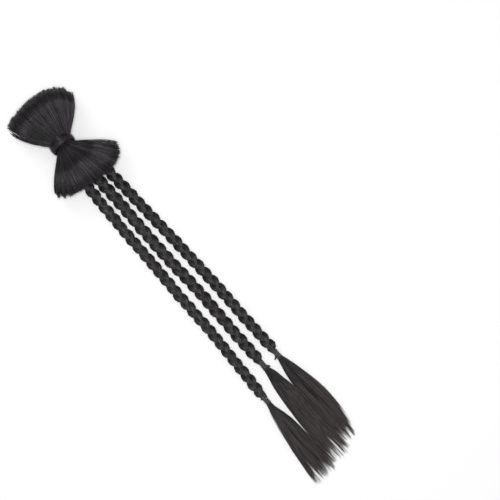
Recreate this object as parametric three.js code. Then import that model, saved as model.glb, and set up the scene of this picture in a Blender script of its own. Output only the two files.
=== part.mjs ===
// Braided hair extension, a bow of folded hair with three braids, lying on its back on a flat surface.
// Millimetres, +Z up. The origin is on the clip's flat underside, below the knot of the bow.
// The braids run along +X to their tassels, +Y is across them, and the surface is at z = 0.
import * as THREE from "three";

// Driving dimensions

const GAP = 0.3;

// The clip lies flat below the knot and the upper loop.
const CLIP = { from: -41, to: 9, width: 9, thickness: 4 };

// The wrap is a lock of hair wound around the waist of the bow. It leans back towards the upper loop at its top.
const WRAP = { along: 3, halfWidth: 11.8, halfHeight: 9, wall: 2.2, lock: 7.2, lean: 2.5, squareness: 4 };
const WRAP_HEIGHT = CLIP.thickness + GAP + WRAP.halfHeight;

// Both loops start as a neck that fills the upper part of the wrap.
const NECK = { halfWidth: 8.2, halfHeight: 4, height: 15.7, sideShare: 0.8 };

// A loop is a fan of hair that runs out from the neck, folds over at its far end and comes back below.
// Each row is one line of the fan: its share across, where its fold ends along X and across Y,
// the middle height of the fold, and how thick the fold is from its top to its underside.
const LOOPS = [
  {
    name: "upper_loop", neckFrom: 2.85, neckTo: -2.6, flare: 1, wall: 2.8, sideWall: 1.8, solid: 6,
    fan: [
      { share: -1, along: -38, across: -31, height: 13.2, thick: 15.5 },
      { share: -0.75, along: -44, across: -26.5, height: 13.8, thick: 17.5 },
      { share: -0.4, along: -48, across: -15.5, height: 14.2, thick: 19.2 },
      { share: 0, along: -49.6, across: -1, height: 14.5, thick: 20 },
      { share: 0.4, along: -48, across: 14.5, height: 14.2, thick: 19.2 },
      { share: 0.75, along: -43, across: 27, height: 13.8, thick: 17.5 },
      { share: 1, along: -29, across: 37, height: 13.2, thick: 15.5 },
    ],
  },
  {
    name: "lower_loop", neckFrom: 3.15, neckTo: 7.6, flare: 0.7, wall: 2.8, sideWall: 1.8, solid: 6,
    fan: [
      { share: -1, along: 36, across: -36, height: 16.2, thick: 15.5 },
      { share: -0.75, along: 44, across: -29, height: 17.6, thick: 17.4 },
      { share: -0.4, along: 48.5, across: -15, height: 18.6, thick: 19 },
      { share: 0, along: 51, across: 3, height: 19, thick: 19.6 },
      { share: 0.4, along: 51.6, across: 17.5, height: 18.6, thick: 19 },
      { share: 0.75, along: 47.5, across: 30.5, height: 17.6, thick: 17.4 },
      { share: 1, along: 35, across: 39.5, height: 16.2, thick: 15.5 },
    ],
  },
];
const LOOP_COLUMNS = 13;

// A braid is three strands that weave across and up and down, one third of a period apart.
const BRAID = { sway: 3.8, rise: 2.5, halfWidth: 1.45, halfHeight: 1.4, strands: 3, sides: 6, stepsPerPeriod: 8 };

// The middle line of the braids from inside the wrap: their height, their size as a share of the full one,
// and the place of each across.
const ROUTE = [
  { along: 0, height: 9.3, size: 0.48, upper: 5.4, middle: 0, lower: -5.4 },
  { along: 10, height: 9, size: 0.52, upper: 6, middle: 0.4, lower: -5.6 },
  { along: 20, height: 7.3, size: 0.7, upper: 9.2, middle: 1.2, lower: -6.8 },
  { along: 30, height: 5.2, size: 0.86, upper: 12.2, middle: 2.2, lower: -7.6 },
  { along: 42, height: 3.8, size: 0.98, upper: 15, middle: 3.2, lower: -8.2 },
  { along: 57, height: 3.7, size: 1, upper: 16.5, middle: 3.9, lower: -8.6 },
  { along: 80, height: 3.7, size: 1, upper: 17.7, middle: 4.4, lower: -9.2 },
  { along: 105, height: 3.7, size: 1, upper: 18.9, middle: 4.4, lower: -9.4 },
  { along: 130, height: 3.7, size: 1, upper: 20.3, middle: 4.7, lower: -9.3 },
  { along: 155, height: 3.7, size: 1, upper: 21.5, middle: 5.3, lower: -9.3 },
  { along: 180, height: 3.7, size: 1, upper: 22.7, middle: 6.6, lower: -9.6 },
  { along: 205, height: 3.7, size: 1, upper: 23.5, middle: 7.2, lower: -9.3 },
  { along: 230, height: 3.7, size: 1, upper: 23.7, middle: 7.1, lower: -9 },
  { along: 255, height: 3.7, size: 1, upper: 24.3, middle: 7.4, lower: -9.7 },
  { along: 280, height: 3.7, size: 1, upper: 24.8, middle: 7.9, lower: -10.5 },
  { along: 306, height: 3.7, size: 1, upper: 24.8, middle: 8.2, lower: -11.2 },
];

// Each braid has its own spacing of lobes, and narrows over its last stretch into its band.
const NARROWING = { length: 11, size: 0.42 };
const BAND = { length: 9, radius: 2.9, wall: 0.65, windings: 3, groove: 0.35, sides: 14 };
const BRAIDS = [
  { name: "upper", firstLobe: 61.2, pitch: 10.2, bandFrom: 281.6 },
  { name: "middle", firstLobe: 64.7, pitch: 10.5, bandFrom: 281 },
  { name: "lower", firstLobe: 59.5, pitch: 9.95, bandFrom: 308 },
];

// A tassel starts as a round neck inside its band and fans out flat on the surface.
// Each row has the distance past the band, the two edges across, and the thickness.
const TASSEL = { neckRadius: 1.9, sides: 12, squareness: 2.4 };
const TASSELS = {
  upper: [
    { past: 4, low: 21.4, high: 29, thick: 5.8 },
    { past: 13, low: 19.2, high: 31.8, thick: 6.8 },
    { past: 25, low: 17.9, high: 34.2, thick: 7 },
    { past: 40, low: 17.9, high: 37, thick: 6.6 },
    { past: 58, low: 18.1, high: 38.5, thick: 6 },
    { past: 76, low: 18.8, high: 37, thick: 4.8 },
    { past: 90, low: 20.4, high: 35.4, thick: 3.2 },
    { past: 95, low: 23, high: 34, thick: 2 },
  ],
  middle: [
    { past: 4, low: 4.5, high: 12.4, thick: 5.8 },
    { past: 13, low: 2.3, high: 15, thick: 6.8 },
    { past: 25, low: 0.5, high: 16.9, thick: 7 },
    { past: 40, low: -0.6, high: 17.3, thick: 6.6 },
    { past: 58, low: -1.5, high: 17.5, thick: 6 },
    { past: 80, low: -1.6, high: 18.2, thick: 5 },
    { past: 98, low: -1.6, high: 18.8, thick: 3.2 },
    { past: 104, low: 0.5, high: 17.5, thick: 2 },
  ],
  lower: [
    { past: 4, low: -15.2, high: -8.6, thick: 5.8 },
    { past: 13, low: -17.6, high: -6.2, thick: 6.6 },
    { past: 25, low: -20, high: -3.6, thick: 6.8 },
    { past: 36, low: -22, high: -2.4, thick: 6.4 },
    { past: 50, low: -23.5, high: -2.2, thick: 5.8 },
    { past: 64, low: -25, high: -2.2, thick: 4.8 },
    { past: 75, low: -26, high: -2.4, thick: 3.2 },
    { past: 80, low: -25, high: -4, thick: 2 },
  ],
};

// Materials

const hair = () => new THREE.MeshStandardMaterial({ color: 0x363435, roughness: 0.5, metalness: 0 });
const elastic = () => new THREE.MeshStandardMaterial({ color: 0x4a4849, roughness: 0.8, metalness: 0 });
const steel = () => new THREE.MeshStandardMaterial({ color: 0x8c8c8e, roughness: 0.35, metalness: 1 });

// Helpers

// A smooth value between the rows of a table, with each row's slope taken from its two neighbours.
function smoothValue(rows, key, at, column) {
  const last = rows.length - 1;
  const after = rows.findIndex((row) => row[key] > at);
  const i = after < 0 ? last - 1 : Math.max(after - 1, 0);
  const slope = (k) => {
    const before = rows[Math.max(k - 1, 0)];
    const next = rows[Math.min(k + 1, last)];
    return (next[column] - before[column]) / (next[key] - before[key]);
  };
  const span = rows[i + 1][key] - rows[i][key];
  const t = THREE.MathUtils.clamp((at - rows[i][key]) / span, 0, 1);
  const rise = rows[i + 1][column] - rows[i][column];
  const startSlope = slope(i) * span;
  const endSlope = slope(i + 1) * span;
  const curved = (t - 1) ** 2 * t * startSlope + (t - 1) * t ** 2 * endSlope;
  return rows[i][column] + t ** 2 * (3 - 2 * t) * rise + curved;
}

// A closed surface from points and triangles, turned so that its faces point out.
function closedSurface(points, triangles) {
  let volume = 0;
  for (const [a, b, c] of triangles) {
    volume += points[a].dot(new THREE.Vector3().crossVectors(points[b], points[c]));
  }
  const turned = volume < 0 ? triangles.map(([a, b, c]) => [a, c, b]) : triangles;
  const geometry = new THREE.BufferGeometry().setFromPoints(points);
  geometry.setIndex(turned.flat());
  geometry.computeVertexNormals();
  return geometry;
}

// The triangles of a skin between rings of points. Each ring has `around` points; first is the first ring's index.
function skin(rings, around, first, closed) {
  const triangles = [];
  const bands = closed ? rings : rings - 1;
  for (let i = 0; i < bands; i++) {
    for (let j = 0; j < around; j++) {
      const here = first + i * around;
      const next = first + ((i + 1) % rings) * around;
      const k = (j + 1) % around;
      triangles.push([here + j, here + k, next + j], [here + k, next + k, next + j]);
    }
  }
  return triangles;
}

// A solid through rings of points, with a flat end at each side.
function loft(rings) {
  const around = rings[0].length;
  const lastRing = (rings.length - 1) * around;
  const triangles = skin(rings.length, around, 0, false);
  for (let j = 1; j < around - 1; j++) {
    triangles.push([0, j + 1, j], [lastRing, lastRing + j, lastRing + j + 1]);
  }
  return closedSurface(rings.flat(), triangles);
}

// One of `sides` directions on a rounded square, as shares of its half width and half height.
function roundedSquare(index, sides, squareness) {
  const turn = (2 * Math.PI * index) / sides;
  const share = (value) => Math.sign(value) * Math.abs(value) ** (2 / squareness);
  return [share(Math.cos(turn)), share(Math.sin(turn))];
}

// The clip: a flat bar with round ends

function makeClip() {
  const radius = CLIP.width / 2;
  const outline = new THREE.Shape();
  outline.absarc(CLIP.to - radius, 0, radius, -Math.PI / 2, Math.PI / 2, false);
  outline.absarc(CLIP.from + radius, 0, radius, Math.PI / 2, (3 * Math.PI) / 2, false);
  return new THREE.ExtrudeGeometry(outline, { depth: CLIP.thickness, bevelEnabled: false, curveSegments: 10 });
}

// The loops

// Goes once around a folded loop seen from its side, from the top of its start to the underside of it.
// Returns pairs of the distance out and the height.
function foldOutline(start, length, startHalf, foldHalf, startHeight, foldHeight) {
  const taperSteps = 4;
  const foldSteps = 5;
  const centre = length - foldHalf;
  const taper = [];
  for (let i = 0; i < taperSteps; i++) {
    const share = i / taperSteps;
    const eased = share ** 2 * (3 - 2 * share);
    const half = startHalf + (foldHalf - startHalf) * eased;
    const height = startHeight + (foldHeight - startHeight) * eased;
    taper.push({ distance: start + (centre - start) * share, half, height });
  }
  const top = taper.map((t) => [t.distance, t.height + t.half]);
  const underside = taper.map((t) => [t.distance, t.height - t.half]).reverse();
  const fold = [];
  for (let i = 0; i <= foldSteps; i++) {
    const angle = Math.PI / 2 - (Math.PI * i) / foldSteps;
    fold.push([centre + foldHalf * Math.cos(angle), foldHeight + foldHalf * Math.sin(angle)]);
  }
  return [...top, ...fold, ...underside];
}

function makeLoop(loop) {
  const outside = [];
  const inside = [];
  for (let column = 0; column < LOOP_COLUMNS; column++) {
    const share = -1 + (2 * column) / (LOOP_COLUMNS - 1);
    const at = (name) => smoothValue(loop.fan, "share", share, name);
    const neckHalf = NECK.halfHeight * Math.sqrt(1 - (NECK.sideShare * share) ** 2);
    const neckAcross = NECK.halfWidth * share;
    const wall = loop.wall + (loop.sideWall - loop.wall) * share ** 2;
    const run = new THREE.Vector2(at("along") - loop.neckTo, at("across") - neckAcross);
    const length = run.length();
    const foldHalf = at("thick") / 2;
    const place = ([distance, height]) => {
      const out = distance / length;
      const spread = out + (Math.sin((Math.PI / 2) * out) - out) * loop.flare;
      return new THREE.Vector3(loop.neckTo + run.x * out, neckAcross + run.y * spread, height);
    };
    const outer = foldOutline(0, length, neckHalf, foldHalf, NECK.height, at("height"));
    const neckTop = new THREE.Vector3(loop.neckFrom, neckAcross, NECK.height + neckHalf);
    const neckUnderside = new THREE.Vector3(loop.neckFrom, neckAcross, NECK.height - neckHalf);
    outside.push([neckTop, ...outer.map(place), neckUnderside]);

    const hollowHalf = neckHalf / 4;
    const inner = foldOutline(loop.solid, length - wall, hollowHalf, foldHalf - wall, NECK.height, at("height"));
    inside.push(inner.map(place));
  }
  const aroundOutside = outside[0].length;
  const aroundInside = inside[0].length;
  const insideFirst = LOOP_COLUMNS * aroundOutside;
  const triangles = skin(LOOP_COLUMNS, aroundOutside, 0, false);
  for (const [a, b, c] of skin(LOOP_COLUMNS, aroundInside, insideFirst, false)) {
    triangles.push([a, c, b]);
  }
  // The two side faces join the outside to the hollow, and close the neck.
  const nearSide = { outer: 0, inner: insideFirst };
  const farSide = {
    outer: (LOOP_COLUMNS - 1) * aroundOutside,
    inner: insideFirst + (LOOP_COLUMNS - 1) * aroundInside,
  };
  for (const { outer, inner } of [nearSide, farSide]) {
    const face = [];
    for (let j = 0; j < aroundInside; j++) {
      const k = (j + 1) % aroundInside;
      face.push([outer + j + 1, outer + k + 1, inner + j], [outer + k + 1, inner + k, inner + j]);
    }
    const neckEnd = outer + aroundOutside - 1;
    face.push([outer, outer + 1, neckEnd], [outer + 1, neckEnd - 1, neckEnd]);
    const isFar = outer > 0;
    triangles.push(...face.map(([a, b, c]) => (isFar ? [a, b, c] : [a, c, b])));
  }
  return closedSurface([...outside.flat(), ...inside.flat()], triangles);
}

// The wrap: a rounded lock of hair swept around the waist

function makeWrap() {
  const turns = 28;
  const lockSides = 8;
  const rings = [];
  for (let i = 0; i < turns; i++) {
    const [across, up] = roundedSquare(i, turns, WRAP.squareness);
    const centreAlong = WRAP.along - WRAP.lean * up;
    const ring = [];
    for (let j = 0; j < lockSides; j++) {
      const [wide, deep] = roundedSquare(j + 0.5, lockSides, WRAP.squareness);
      const inset = (WRAP.wall / 2) * (1 - deep);
      const along = centreAlong + (WRAP.lock / 2) * wide;
      const y = across * (WRAP.halfWidth - inset);
      ring.push(new THREE.Vector3(along, y, WRAP_HEIGHT + up * (WRAP.halfHeight - inset)));
    }
    rings.push(ring);
  }
  return closedSurface(rings.flat(), skin(turns, lockSides, 0, true));
}

// The braids

function makeStrand(braid, index) {
  const period = braid.pitch * BRAID.strands;
  const from = ROUTE[0].along;
  const to = braid.bandFrom - GAP;
  const steps = Math.round(((to - from) / period) * BRAID.stepsPerPeriod);
  const centre = (along) => {
    const turn = ((along - braid.firstLobe) / period + index / BRAID.strands) * 2 * Math.PI + Math.PI / 2;
    const narrow = THREE.MathUtils.smoothstep(along, to - NARROWING.length, to);
    const full = smoothValue(ROUTE, "along", along, "size");
    const size = full + (NARROWING.size - full) * narrow;
    const across = smoothValue(ROUTE, "along", along, braid.name) + BRAID.sway * size * Math.sin(turn);
    const middle = smoothValue(ROUTE, "along", along, "height");
    const height = middle + (BAND.radius - middle) * narrow - BRAID.rise * size * Math.sin(2 * turn);
    return { point: new THREE.Vector3(along, across, height), size };
  };
  const up = new THREE.Vector3(0, 0, 1);
  const slice = 0.01;
  const rings = [];
  for (let i = 0; i <= steps; i++) {
    const along = from + ((to - from) * i) / steps;
    const { point, size } = centre(along);
    const isEnd = i === 0 || i === steps;
    const ahead = centre(along + slice).point.sub(centre(along - slice).point).normalize();
    const tangent = isEnd ? new THREE.Vector3(1, 0, 0) : ahead;
    const side = new THREE.Vector3().crossVectors(up, tangent).normalize();
    const top = new THREE.Vector3().crossVectors(tangent, side);
    const ring = [];
    for (let j = 0; j < BRAID.sides; j++) {
      const angle = (2 * Math.PI * j) / BRAID.sides;
      const wide = side.clone().multiplyScalar(BRAID.halfWidth * size * Math.cos(angle));
      const high = top.clone().multiplyScalar(BRAID.halfHeight * size * Math.sin(angle));
      ring.push(point.clone().add(wide).add(high));
    }
    rings.push(ring);
  }
  return loft(rings);
}

// The bands: an elastic wound a few times around the end of a braid

function makeBand() {
  const profile = [];
  const steps = BAND.windings * 2;
  for (let i = 0; i <= steps; i++) {
    const radius = i % 2 === 1 ? BAND.radius : BAND.radius - BAND.groove;
    profile.push(new THREE.Vector2(radius, (BAND.length * i) / steps));
  }
  const hole = BAND.radius - BAND.wall;
  profile.push(new THREE.Vector2(hole, BAND.length), new THREE.Vector2(hole, 0), profile[0].clone());
  return new THREE.LatheGeometry(profile, BAND.sides);
}

// The tassels

function makeTassel(braid) {
  const bandAcross = smoothValue(ROUTE, "along", braid.bandFrom, braid.name);
  const bandEnd = braid.bandFrom + BAND.length;
  const neck = (past) => ({
    past,
    low: bandAcross - TASSEL.neckRadius,
    high: bandAcross + TASSEL.neckRadius,
    thick: 2 * TASSEL.neckRadius,
    height: BAND.radius,
  });
  const fan = TASSELS[braid.name].map((row) => ({ ...row, height: row.thick / 2 }));
  const rows = [neck(-BAND.length), neck(GAP), ...fan];
  const rings = rows.map((row) => {
    const ring = [];
    for (let j = 0; j < TASSEL.sides; j++) {
      const [wide, high] = roundedSquare(j, TASSEL.sides, TASSEL.squareness);
      const across = (row.low + row.high) / 2 + (wide * (row.high - row.low)) / 2;
      ring.push(new THREE.Vector3(bandEnd + row.past, across, row.height + (high * row.thick) / 2));
    }
    return ring;
  });
  return loft(rings);
}

// The assembly

const extension = new THREE.Group();

function add(name, geometry, material) {
  const mesh = new THREE.Mesh(geometry, material);
  mesh.name = name;
  extension.add(mesh);
  return mesh;
}

add("clip", makeClip(), steel());
for (const loop of LOOPS) {
  add(loop.name, makeLoop(loop), hair());
}
add("knot_wrap", makeWrap(), hair());
for (const braid of BRAIDS) {
  for (let strand = 0; strand < BRAID.strands; strand++) {
    add(`${braid.name}_braid_strand_${strand + 1}`, makeStrand(braid, strand), hair());
  }
  const band = add(`${braid.name}_band`, makeBand(), elastic());
  band.rotation.z = -Math.PI / 2;
  band.position.set(braid.bandFrom, smoothValue(ROUTE, "along", braid.bandFrom, braid.name), BAND.radius);
  add(`${braid.name}_tassel`, makeTassel(braid), hair());
}

export default extension;
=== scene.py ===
import math

import bpy
import numpy as np
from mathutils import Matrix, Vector


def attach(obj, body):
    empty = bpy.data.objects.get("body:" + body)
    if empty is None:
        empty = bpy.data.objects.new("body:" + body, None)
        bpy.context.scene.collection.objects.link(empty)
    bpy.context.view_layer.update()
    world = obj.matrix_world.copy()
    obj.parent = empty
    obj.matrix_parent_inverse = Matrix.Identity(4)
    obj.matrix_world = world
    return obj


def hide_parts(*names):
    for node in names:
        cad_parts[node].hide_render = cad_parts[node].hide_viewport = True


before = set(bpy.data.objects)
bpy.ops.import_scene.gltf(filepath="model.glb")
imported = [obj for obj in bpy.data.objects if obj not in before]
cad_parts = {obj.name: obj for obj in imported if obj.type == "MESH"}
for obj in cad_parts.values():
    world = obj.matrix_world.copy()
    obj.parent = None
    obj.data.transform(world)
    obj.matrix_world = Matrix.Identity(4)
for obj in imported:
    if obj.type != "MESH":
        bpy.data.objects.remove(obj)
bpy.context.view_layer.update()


# The clip
# A flat spring-steel hair clip under the knot, pushed into hair to hold the piece on. It is stamped and
# brushed along its length, and the bow is tied down on it.

CLIP_DARK = (0.30, 0.30, 0.31)
CLIP_LIGHT = (0.46, 0.46, 0.47)
CLIP_GRAIN = (60, 2600, 2600)
CLIP_GRAIN_DEPTH = 0.00005


def fill(tree, node, inputs):
    """Sets a node's inputs by name or number, or links them to the outputs of other nodes."""
    for key, value in inputs.items():
        if isinstance(value, bpy.types.NodeSocket):
            tree.links.new(value, node.inputs[key])
        else:
            node.inputs[key].default_value = value


def put(tree, kind, inputs=None, **options):
    """Adds a node to a tree, with its options and its inputs."""
    node = tree.nodes.new(kind)
    for option, value in options.items():
        setattr(node, option, value)
    fill(tree, node, inputs or {})
    return node


def new_finish(name):
    """A new material, its tree and its shader."""
    material = bpy.data.materials.new(name)
    material.use_nodes = True
    return material, material.node_tree, material.node_tree.nodes["Principled BSDF"]


def two_tones(tree, amount, dark, light, dark_at, light_at):
    """A colour that goes from dark to light as the amount goes from dark_at to light_at."""
    ramp = put(tree, "ShaderNodeValToRGB", {"Fac": amount})
    for number, (tone, place) in enumerate([(dark, dark_at), (light, light_at)]):
        ramp.color_ramp.elements[number].position = place
        ramp.color_ramp.elements[number].color = (*tone, 1)
    return ramp.outputs["Color"]


def between(tree, amount, first, last):
    """A value that goes from first to last as the amount goes from 0 to 1."""
    ends = {"Value": amount, "To Min": first, "To Max": last}
    return put(tree, "ShaderNodeMapRange", ends).outputs["Result"]


def brushed_steel():
    material, tree, shader = new_finish("brushed_clip_steel")
    place = put(tree, "ShaderNodeTexCoord").outputs["Object"]
    stretched = put(tree, "ShaderNodeMapping", {"Vector": place, "Scale": CLIP_GRAIN}).outputs["Vector"]
    grain = put(tree, "ShaderNodeTexNoise", {"Vector": stretched, "Scale": 1.0, "Detail": 3.0}).outputs["Fac"]
    lines = put(tree, "ShaderNodeBump", {"Height": grain, "Strength": 0.2, "Distance": CLIP_GRAIN_DEPTH})
    fill(tree, shader, {
        "Metallic": 1.0,
        "Base Color": two_tones(tree, grain, CLIP_DARK, CLIP_LIGHT, dark_at=0.3, light_at=0.7),
        "Roughness": between(tree, grain, first=0.26, last=0.44),
        "Normal": lines.outputs["Normal"],
    })
    return material


clip_steel = brushed_steel()
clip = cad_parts["clip"]
clip.data.materials.clear()
clip.data.materials.append(clip_steel)


# The braids
# Three braids of straight synthetic hair, each plaited flat from three strands with the outer strand passed
# over the middle one. Their roots are tied in under the bow, and they lie side by side on the surface.

STRANDS = 3
BRAID_SWAY = 0.0029
BRAID_RISE = 0.0021
STRAND_HALF_WIDTH = 0.0022
STRAND_HALF_HEIGHT = 0.0019
LOBE_PLUMP = 0.7

# The packed core of a strand, as a share of its section, its tint, and the depth of the loose hair on it
CORE_SHARE = 0.9
# The core is tinted darker than the loose hair on it: painted shade for the packed hair inside the strand
CORE_SHADE_TINT = 0.25
LOOSE_DEPTH = 0.00025

# Over the last NARROWING before its band, a braid is drawn in to a share of its size and to the band's height
NARROWING = 0.0044
NARROW_SIZE = 0.5
BAND_HEIGHT = 0.0029
BAND_OVERLAP = 0.002

# Painted light and shade on the braids: how much paler hair is painted along the middle of a braid, how much
# darker at its sides, how far it changes where strands pass over and dive under as they cross, and how much
# stronger all of that is near the roots, by the bow
PAINTED_CENTRE_LIGHT = 0.24
PAINTED_SIDE_SHADE = 0.56
PAINTED_CROSSING_LIGHT = 0.3
CROSSING_PHASE = 1.75 * math.pi
PAINTED_ROOT_CONTRAST = 0.5
ROOT_FROM = 0.05
ROOT_TO = 0.13

# Along, height, share of the full size, then each braid's place across
ROUTE_COLUMNS = ("along", "height", "size", "upper", "middle", "lower")
ROUTE = [
    (0.000, 0.0093, 0.48, 0.0052, -0.0002, -0.0058),
    (0.010, 0.0090, 0.52, 0.0058, 0.0002, -0.0060),
    (0.020, 0.0073, 0.70, 0.0090, 0.0010, -0.0072),
    (0.030, 0.0052, 0.86, 0.0120, 0.0020, -0.0080),
    (0.042, 0.0041, 0.98, 0.0148, 0.0030, -0.0086),
    (0.057, 0.0040, 1.00, 0.0163, 0.0037, -0.0090),
    (0.080, 0.0040, 1.00, 0.0175, 0.0042, -0.0096),
    (0.105, 0.0040, 1.00, 0.0187, 0.0042, -0.0098),
    (0.130, 0.0040, 1.00, 0.0201, 0.0045, -0.0097),
    (0.155, 0.0040, 1.00, 0.0213, 0.0051, -0.0097),
    (0.180, 0.0040, 1.00, 0.0225, 0.0064, -0.0100),
    (0.205, 0.0040, 1.00, 0.0233, 0.0070, -0.0097),
    (0.230, 0.0040, 1.00, 0.0235, 0.0069, -0.0094),
    (0.255, 0.0040, 1.00, 0.0241, 0.0072, -0.0101),
    (0.280, 0.0040, 1.00, 0.0246, 0.0077, -0.0109),
    (0.306, 0.0040, 1.00, 0.0246, 0.0080, -0.0116),
]

# Where a lobe stands out to +Y, the spacing of lobes, where the band starts, and how full the braid is
BRAIDS = {
    "upper": {"lobe": 0.0612, "pitch": 0.0102, "band_from": 0.2816, "fullness": 0.95},
    "middle": {"lobe": 0.0647, "pitch": 0.0105, "band_from": 0.2810, "fullness": 1.0},
    "lower": {"lobe": 0.0595, "pitch": 0.00995, "band_from": 0.3080, "fullness": 0.93},
}


def smooth_column(rows, columns, name):
    """A smooth function of the first column of a table, through one of its other columns."""
    keys = np.array([row[0] for row in rows], float)
    values = np.array([row[columns.index(name)] for row in rows], float)
    before, after = np.arange(len(keys)) - 1, np.arange(len(keys)) + 1
    before, after = before.clip(0), after.clip(max=len(keys) - 1)
    slopes = (values[after] - values[before]) / (keys[after] - keys[before])

    def at(x):
        x = np.clip(np.asarray(x, float), keys[0], keys[-1])
        i = np.clip(np.searchsorted(keys, x, side="right") - 1, 0, len(keys) - 2)
        span = keys[i + 1] - keys[i]
        t = (x - keys[i]) / span
        rise = t * t * (3 - 2 * t) * (values[i + 1] - values[i])
        bend = (t - 1) ** 2 * t * slopes[i] * span + (t - 1) * t * t * slopes[i + 1] * span
        return values[i] + rise + bend

    return at


def smooth_step(x, none_at, full_at):
    """Goes smoothly from 0 at none_at to 1 at full_at, which may be the smaller of the two."""
    t = np.clip((x - none_at) / (full_at - none_at), 0, 1)
    return t * t * (3 - 2 * t)


def hair_sheet(name, points, half, shade=0.0):
    """A grid of faces that hair is combed over: points[across][along].

    Each point has half the depth of hair there and its shade: how much paler or darker the hair is painted
    there as light and shade. The map "comb" holds the share across and the share along.
    """
    across, along = points.shape[:2]
    mesh = bpy.data.meshes.new(name)
    corner = np.arange(across * along).reshape(across, along)
    faces = np.stack([corner[:-1, :-1], corner[1:, :-1], corner[1:, 1:], corner[:-1, 1:]], -1)
    mesh.from_pydata(points.reshape(-1, 3).tolist(), [], faces.reshape(-1, 4).tolist())
    comb = mesh.uv_layers.new(name="comb")
    share = np.stack(np.meshgrid(np.linspace(0, 1, across), np.linspace(0, 1, along), indexing="ij"), -1)
    vertex = np.empty(len(mesh.loops), np.int32)
    mesh.loops.foreach_get("vertex_index", vertex)
    comb.data.foreach_set("uv", share.reshape(-1, 2)[vertex].astype(np.float32).ravel())
    for key, values in (("half_depth", half), ("shade", shade)):
        layer = mesh.attributes.new(key, "FLOAT", "POINT")
        layer.data.foreach_set("value", np.broadcast_to(values, (across, along)).astype(np.float32).ravel())
    mesh.polygons.foreach_set("use_smooth", np.ones(len(mesh.polygons), bool))
    return mesh


def maths(tree, operation, a, b=0.0, c=0.0):
    return put(tree, "ShaderNodeMath", {0: a, 1: b, 2: c}, operation=operation).outputs[0]


def vectors(tree, operation, a, b):
    return put(tree, "ShaderNodeVectorMath", {0: a, 1: b}, operation=operation).outputs[0]


def scaled(tree, vector, by):
    return put(tree, "ShaderNodeVectorMath", {0: vector, "Scale": by}, operation="SCALE").outputs[0]


# Locks are as many as there would be across the whole sheet. Gather pulls hairs to the middle of their lock,
# Ridge raises that middle, Unruly lifts or sinks whole locks, and Wander lets hairs drift across. Twist turns
# hair round a tube. Ragged inputs cut hair short of Ends At. Mottle adds fine speckles to the tint, while
# Painted
# Light Ends, Painted Shade Edges and Painted Shade Roots paint light on the ends and shade on edges and
# roots.
COMB_COUNTS = {"Hairs": 500, "Points": 16, "Seed": 1}
COMB_VALUES = {
    "Thickness": 0.0002,
    "Tip": 0.4,
    "Locks": 20.0,
    "Gather": 0.3,
    "Ridge": 0.0,
    "Unruly": 0.0,
    "Wander": 0.0,
    "Twist": 0.0,
    "Frizz": 0.0,
    "Frizz Size": 0.02,
    "Ragged Lock": 0.0,
    "Ragged Hair": 0.0,
    "Ragged Edge": 0.0,
    "Ends At": 0.9995,
    "Pale Ends": 0.0,
    "Dark Edges": 0.0,
    "Dark Roots": 0.0,
    "Mottle": 0.0,
    "Across From": 0.0,
    "Across To": 1.0,
}

# Hair keeps this share of the sheet clear of its edges
SHEET_EDGE = 0.0005

# Locks: how widths vary, where middles lie, how soon hair gathers to them, and how high the crown stands
LOCK_BEAT = 2.3
LOCK_UNEVENNESS = 0.35
LOCK_MIDDLES = (0.3, 0.7)
GATHER_RATE = 3.0
LOCK_CROWN = 0.5

# Ends: how few hairs are cut far short, how near an edge counts, and how unequal the locks there are
SHORT_HAIR_POWER = 1.6
EDGE_POWER = 3.0
EDGE_LOCKS = (0.6, 1.0)

# Frizz: how far apart the waves of two hairs are, and how soon a hair is free to wave
FRIZZ_APART = 0.37
FRIZZ_RATE = 6.0

# Tint: the lock's part and the hair's part, how fine the speckles are, and where the painted light on ends
# and the painted shade at roots lie
LOCK_TINT = 0.45
HAIR_TINT = 0.55
SPECKLES = (420.0, 800.0, 420.0)
PAINTED_LIGHT_FROM = 0.4
ROOT_POWER = 5.0

# One hair: how late it thins to its tip, how thickness varies, and the corners of its section
TIP_POWER = 3.0
HAIR_SIZES = (0.7, 1.3)
HAIR_CORNERS = 3


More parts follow.
